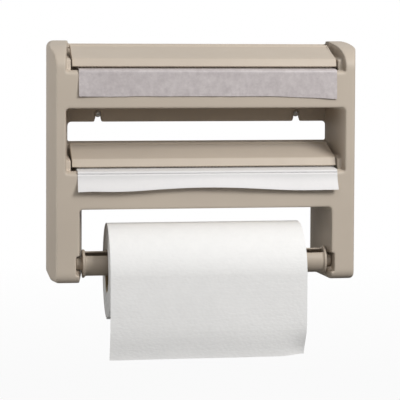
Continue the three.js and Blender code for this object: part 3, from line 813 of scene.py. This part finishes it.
def camera():
    """The photograph's view, 8 degrees from the left and 6 from above, with a shifted lens."""
    yaw, pitch, roll = math.radians(8.15), math.radians(2.28), math.radians(0.26)
    target = Vector((2.89, 0, 77.35)) * MM
    distance = 1.9257
    forward = Vector((math.sin(yaw) * math.cos(pitch), math.cos(yaw) * math.cos(pitch), -math.sin(pitch)))
    right = Vector((math.cos(yaw), -math.sin(yaw), 0))
    up = right.cross(forward)
    tilted_right = right * math.cos(roll) + up * math.sin(roll)
    tilted_up = up * math.cos(roll) - right * math.sin(roll)
    data = bpy.data.cameras.new("camera")
    data.lens = 144.05
    data.sensor_width = 36
    obj = new_object("camera", data)
    rotation = Matrix((tilted_right, tilted_up, -forward)).transposed().to_4x4()
    obj.matrix_world = Matrix.Translation(target - forward * distance) @ rotation
    bpy.context.scene.camera = obj
    shift_lens(obj, -0.275)


def shift_lens(obj, shift):
    """Shifts the lens while the camera stands where it does now. From anywhere else it looks straight on."""
    driver = obj.data.driver_add("shift_y").driver
    driver.type = "SCRIPTED"
    away = []
    for axis, home in zip("xyz", obj.matrix_world.translation):
        variable = driver.variables.new()
        variable.name = axis
        variable.type = "TRANSFORMS"
        variable.targets[0].id = obj
        variable.targets[0].transform_type = "LOC_" + axis.upper()
        away.append(f"abs({axis} - {home:.5f})")
    driver.expression = f"{shift} if {' + '.join(away)} < 0.01 else 0"


def area_light(name, position, target, size, energy):
    data = bpy.data.lights.new(name, "AREA")
    data.shape = "RECTANGLE"
    data.size, data.size_y = size
    data.energy = energy
    obj = new_object(name, data)
    obj.location = position
    obj.rotation_mode = "QUATERNION"
    obj.rotation_quaternion = (Vector(target) - Vector(position)).to_track_quat("-Z", "Y")


def studio():
    """A white surround that lights softly, most from above and in front, and is seen as plain white."""
    world = bpy.data.worlds.new("studio")
    bpy.context.scene.world = world
    world.use_nodes = True
    tree = world.node_tree

    def add(kind, *inputs, **settings):
        node = tree.nodes.new(kind)
        for key, value in settings.items():
            setattr(node, key, value)
        for index, value in enumerate(inputs):
            if isinstance(value, (int, float, tuple)):
                node.inputs[index].default_value = value
            elif value is not None:
                tree.links.new(value, node.inputs[index])
        return node

    direction = add("ShaderNodeTexCoord").outputs["Generated"]
    light = 0.012
    lobes = (  # where each soft light is, the cosine of its half angle, and its strength
        ((0, -0.7, 0.7), 0.5, 0.92),
        ((0, 0.8, 0.6), 0.5, 0.65),
        ((0, -1, 0), 0.5, 0.06),
        ((0, 1, -0.1), 0.4, 0.12),
    )
    for toward, widest, strength in lobes:
        toward = tuple(Vector(toward).normalized())
        dot = add("ShaderNodeVectorMath", direction, toward, operation="DOT_PRODUCT").outputs["Value"]
        lobe = add("ShaderNodeMapRange", dot, widest, 1.0, 0.0, 1.0).outputs[0]
        light = add("ShaderNodeMath", lobe, strength, light, operation="MULTIPLY_ADD").outputs[0]
    seen = add("ShaderNodeLightPath").outputs["Is Camera Ray"]
    shown = add("ShaderNodeMix", seen, data_type="FLOAT")
    tree.links.new(light, shown.inputs["A"])
    shown.inputs["B"].default_value = 1.0
    background = tree.nodes["Background"]
    background.inputs["Color"].default_value = (1, 1, 1, 1)
    tree.links.new(shown.outputs["Result"], background.inputs["Strength"])


def floor():
    """A pale floor below the part. It fades out, so there is no horizon, and is clear from underneath."""
    bm = bmesh.new()
    bmesh.ops.create_grid(bm, x_segments=8, y_segments=8, size=1.6)
    mesh = bpy.data.meshes.new("floor")
    bm.to_mesh(mesh)
    bm.free()
    n = Nodes("floor")
    n.set(Base_Color=(0.1, 0.1, 0.1, 1), Roughness=0.8)
    glow = n.add("ShaderNodeEmission")
    seen = n.add("ShaderNodeLightPath").outputs["Is Camera Ray"]
    lit = n.add("ShaderNodeMixShader")
    n.link(n.math("MULTIPLY", seen, 0.95), lit.inputs[0])
    n.link(n.shader.outputs[0], lit.inputs[1])
    n.link(glow.outputs[0], lit.inputs[2])
    clear = n.add("ShaderNodeBsdfTransparent")
    fade = n.add("ShaderNodeMixShader")
    reach = n.add("ShaderNodeVectorMath", operation="LENGTH")
    n.link(n.place, reach.inputs[0])
    below = n.add("ShaderNodeNewGeometry").outputs["Backfacing"]
    far = n.remap(reach.outputs["Value"], 0.4, 1.5)
    n.link(n.math("MAXIMUM", far, below), fade.inputs[0])
    n.link(lit.outputs[0], fade.inputs[1])
    n.link(clear.outputs[0], fade.inputs[2])
    n.link(fade.outputs[0], n.output.inputs["Surface"])
    mesh.materials.append(n.material)
    obj = new_object("floor", mesh)
    obj.location = (0, 0, CAD_BOX[0].z - 0.12)


camera()
studio()
floor()
area_light("key", (1.0, -1.5, 1.15), (0, 0, 0), (0.7, 0.7), 29)
area_light("side", (-1.8, -0.1, -0.5), (0, 0, -0.05), (0.4, 1.0), 15)
area_light("low", (-1.5, -0.5, -0.9), (0, 0, -0.1), (0.5, 0.5), 12)
bpy.context.scene.view_settings.view_transform = "Standard"
